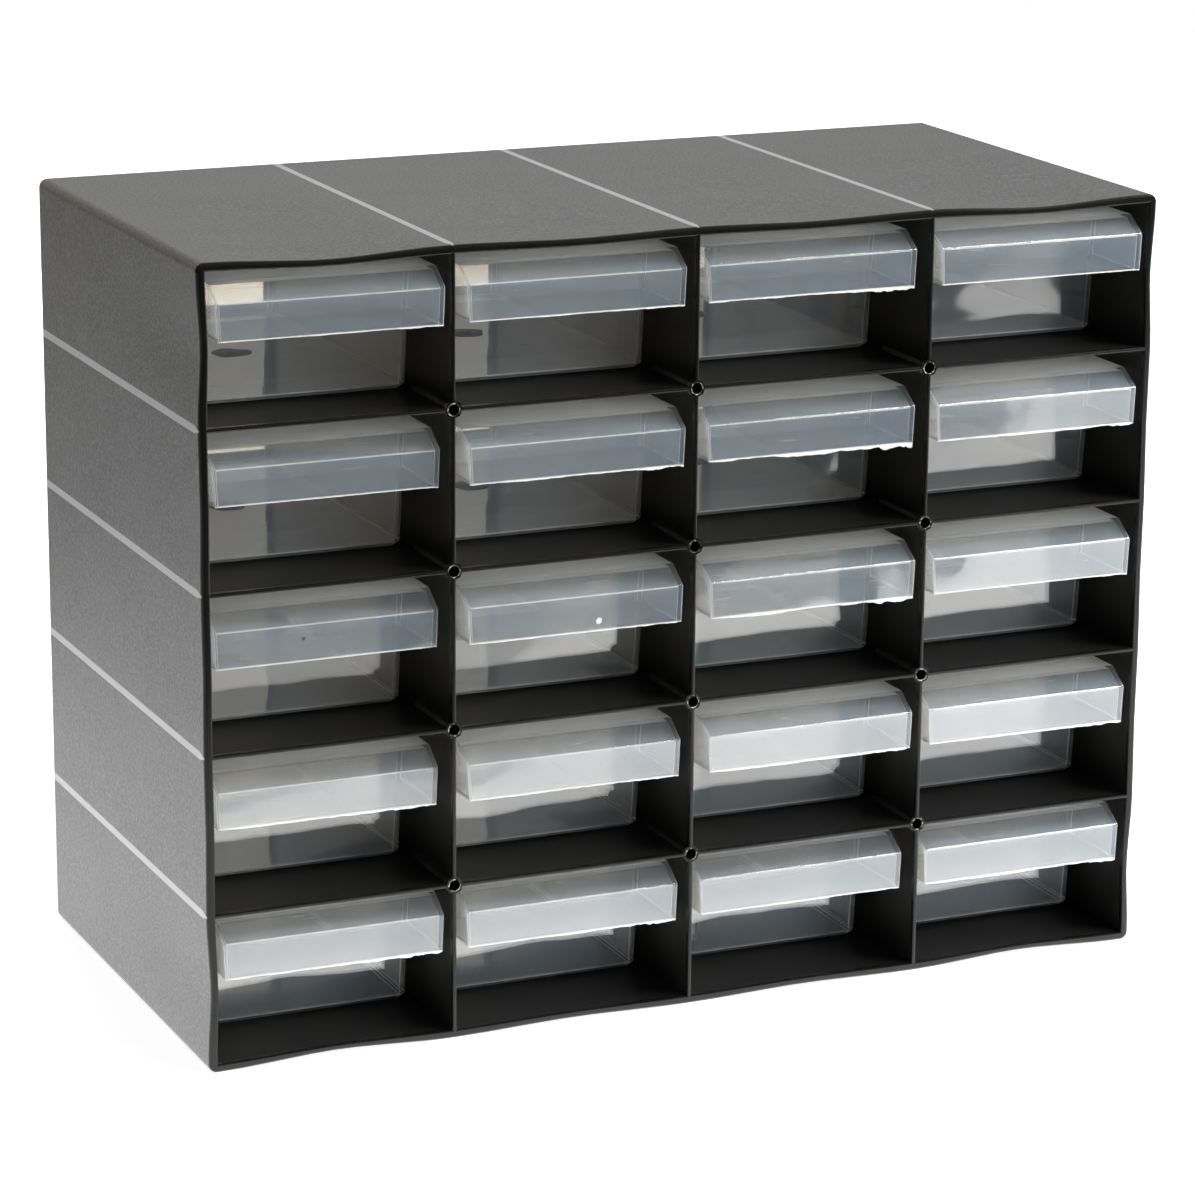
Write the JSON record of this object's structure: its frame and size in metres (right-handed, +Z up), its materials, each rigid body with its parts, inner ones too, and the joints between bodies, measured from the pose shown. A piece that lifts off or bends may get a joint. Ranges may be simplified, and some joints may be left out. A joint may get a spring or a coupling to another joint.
{
  "type": "parts bin cabinet",
  "caption": "Bench-top parts cabinet: one dark moulded case whose open front holds a grid of translucent pull-out drawers with full-width finger hoods.",
  "frame": {"origin": "middle of the case's underside, on the surface it stands on", "axes": "+Z up; the open front with the drawers faces -Y; +X runs across the front to the right"},
  "size_m": [0.3, 0.147, 0.2336],
  "materials": {
    "case_plastic": "charcoal high-impact plastic, fine spark grain outside, glossy lips and cell walls",
    "drawer_plastic": "milky translucent natural plastic, glossy, with faint moulding flow and trimmed flash"
  },
  "bodies": {
    "case": {"case": "case_plastic"},
    "drawer_row1_col1": {"drawer_row1_col1": "drawer_plastic"},
    "drawer_row1_col2": {"drawer_row1_col2": "drawer_plastic"},
    "drawer_row1_col3": {"drawer_row1_col3": "drawer_plastic"},
    "drawer_row1_col4": {"drawer_row1_col4": "drawer_plastic"},
    "drawer_row2_col1": {"drawer_row2_col1": "drawer_plastic"},
    "drawer_row2_col2": {"drawer_row2_col2": "drawer_plastic"},
    "drawer_row2_col3": {"drawer_row2_col3": "drawer_plastic"},
    "drawer_row2_col4": {"drawer_row2_col4": "drawer_plastic"},
    "drawer_row3_col1": {"drawer_row3_col1": "drawer_plastic"},
    "drawer_row3_col2": {"drawer_row3_col2": "drawer_plastic"},
    "drawer_row3_col3": {"drawer_row3_col3": "drawer_plastic"},
    "drawer_row3_col4": {"drawer_row3_col4": "drawer_plastic"},
    "drawer_row4_col1": {"drawer_row4_col1": "drawer_plastic"},
    "drawer_row4_col2": {"drawer_row4_col2": "drawer_plastic"},
    "drawer_row4_col3": {"drawer_row4_col3": "drawer_plastic"},
    "drawer_row4_col4": {"drawer_row4_col4": "drawer_plastic"},
    "drawer_row5_col1": {"drawer_row5_col1": "drawer_plastic"},
    "drawer_row5_col2": {"drawer_row5_col2": "drawer_plastic"},
    "drawer_row5_col3": {"drawer_row5_col3": "drawer_plastic"},
    "drawer_row5_col4": {"drawer_row5_col4": "drawer_plastic"}
  },
  "joints": [
    {"name": "drawer_row1_col1_slide", "type": "slide", "parent": "case", "child": "drawer_row1_col1", "axis": [0, -1, 0], "range_m": [-0.004, 0.101]},
    {"name": "drawer_row1_col2_slide", "type": "slide", "parent": "case", "child": "drawer_row1_col2", "axis": [0, -1, 0], "range_m": [-0.0031, 0.1019]},
    {"name": "drawer_row1_col3_slide", "type": "slide", "parent": "case", "child": "drawer_row1_col3", "axis": [0, -1, 0], "range_m": [-0.0022, 0.1028]},
    {"name": "drawer_row1_col4_slide", "type": "slide", "parent": "case", "child": "drawer_row1_col4", "axis": [0, -1, 0], "range_m": [-0.0044, 0.1006]},
    {"name": "drawer_row2_col1_slide", "type": "slide", "parent": "case", "child": "drawer_row2_col1", "axis": [0, -1, 0], "range_m": [-0.0017, 0.1033]},
    {"name": "drawer_row2_col2_slide", "type": "slide", "parent": "case", "child": "drawer_row2_col2", "axis": [0, -1, 0], "range_m": [-0.0033, 0.1017]},
    {"name": "drawer_row2_col3_slide", "type": "slide", "parent": "case", "child": "drawer_row2_col3", "axis": [0, -1, 0], "range_m": [-0.0026, 0.1024]},
    {"name": "drawer_row2_col4_slide", "type": "slide", "parent": "case", "child": "drawer_row2_col4", "axis": [0, -1, 0], "range_m": [-0.0042, 0.1008]},
    {"name": "drawer_row3_col1_slide", "type": "slide", "parent": "case", "child": "drawer_row3_col1", "axis": [0, -1, 0], "range_m": [-0.0013, 0.1037]},
    {"name": "drawer_row3_col2_slide", "type": "slide", "parent": "case", "child": "drawer_row3_col2", "axis": [0, -1, 0], "range_m": [-0.0031, 0.1019]},
    {"name": "drawer_row3_col3_slide", "type": "slide", "parent": "case", "child": "drawer_row3_col3", "axis": [0, -1, 0], "range_m": [-0.0038, 0.1012]},
    {"name": "drawer_row3_col4_slide", "type": "slide", "parent": "case", "child": "drawer_row3_col4", "axis": [0, -1, 0], "range_m": [-0.0042, 0.1008]},
    {"name": "drawer_row4_col1_slide", "type": "slide", "parent": "case", "child": "drawer_row4_col1", "axis": [0, -1, 0], "range_m": [-0.001, 0.104]},
    {"name": "drawer_row4_col2_slide", "type": "slide", "parent": "case", "child": "drawer_row4_col2", "axis": [0, -1, 0], "range_m": [-0.0029, 0.1021]},
    {"name": "drawer_row4_col3_slide", "type": "slide", "parent": "case", "child": "drawer_row4_col3", "axis": [0, -1, 0], "range_m": [-0.0042, 0.1008]},
    {"name": "drawer_row4_col4_slide", "type": "slide", "parent": "case", "child": "drawer_row4_col4", "axis": [0, -1, 0], "range_m": [-0.0039, 0.1011]},
    {"name": "drawer_row5_col1_slide", "type": "slide", "parent": "case", "child": "drawer_row5_col1", "axis": [0, -1, 0], "range_m": [-0.0029, 0.1021]},
    {"name": "drawer_row5_col2_slide", "type": "slide", "parent": "case", "child": "drawer_row5_col2", "axis": [0, -1, 0], "range_m": [-0.0025, 0.1025]},
    {"name": "drawer_row5_col3_slide", "type": "slide", "parent": "case", "child": "drawer_row5_col3", "axis": [0, -1, 0], "range_m": [-0.0022, 0.1028]},
    {"name": "drawer_row5_col4_slide", "type": "slide", "parent": "case", "child": "drawer_row5_col4", "axis": [0, -1, 0], "range_m": [-0.0038, 0.1012]}
  ]
}
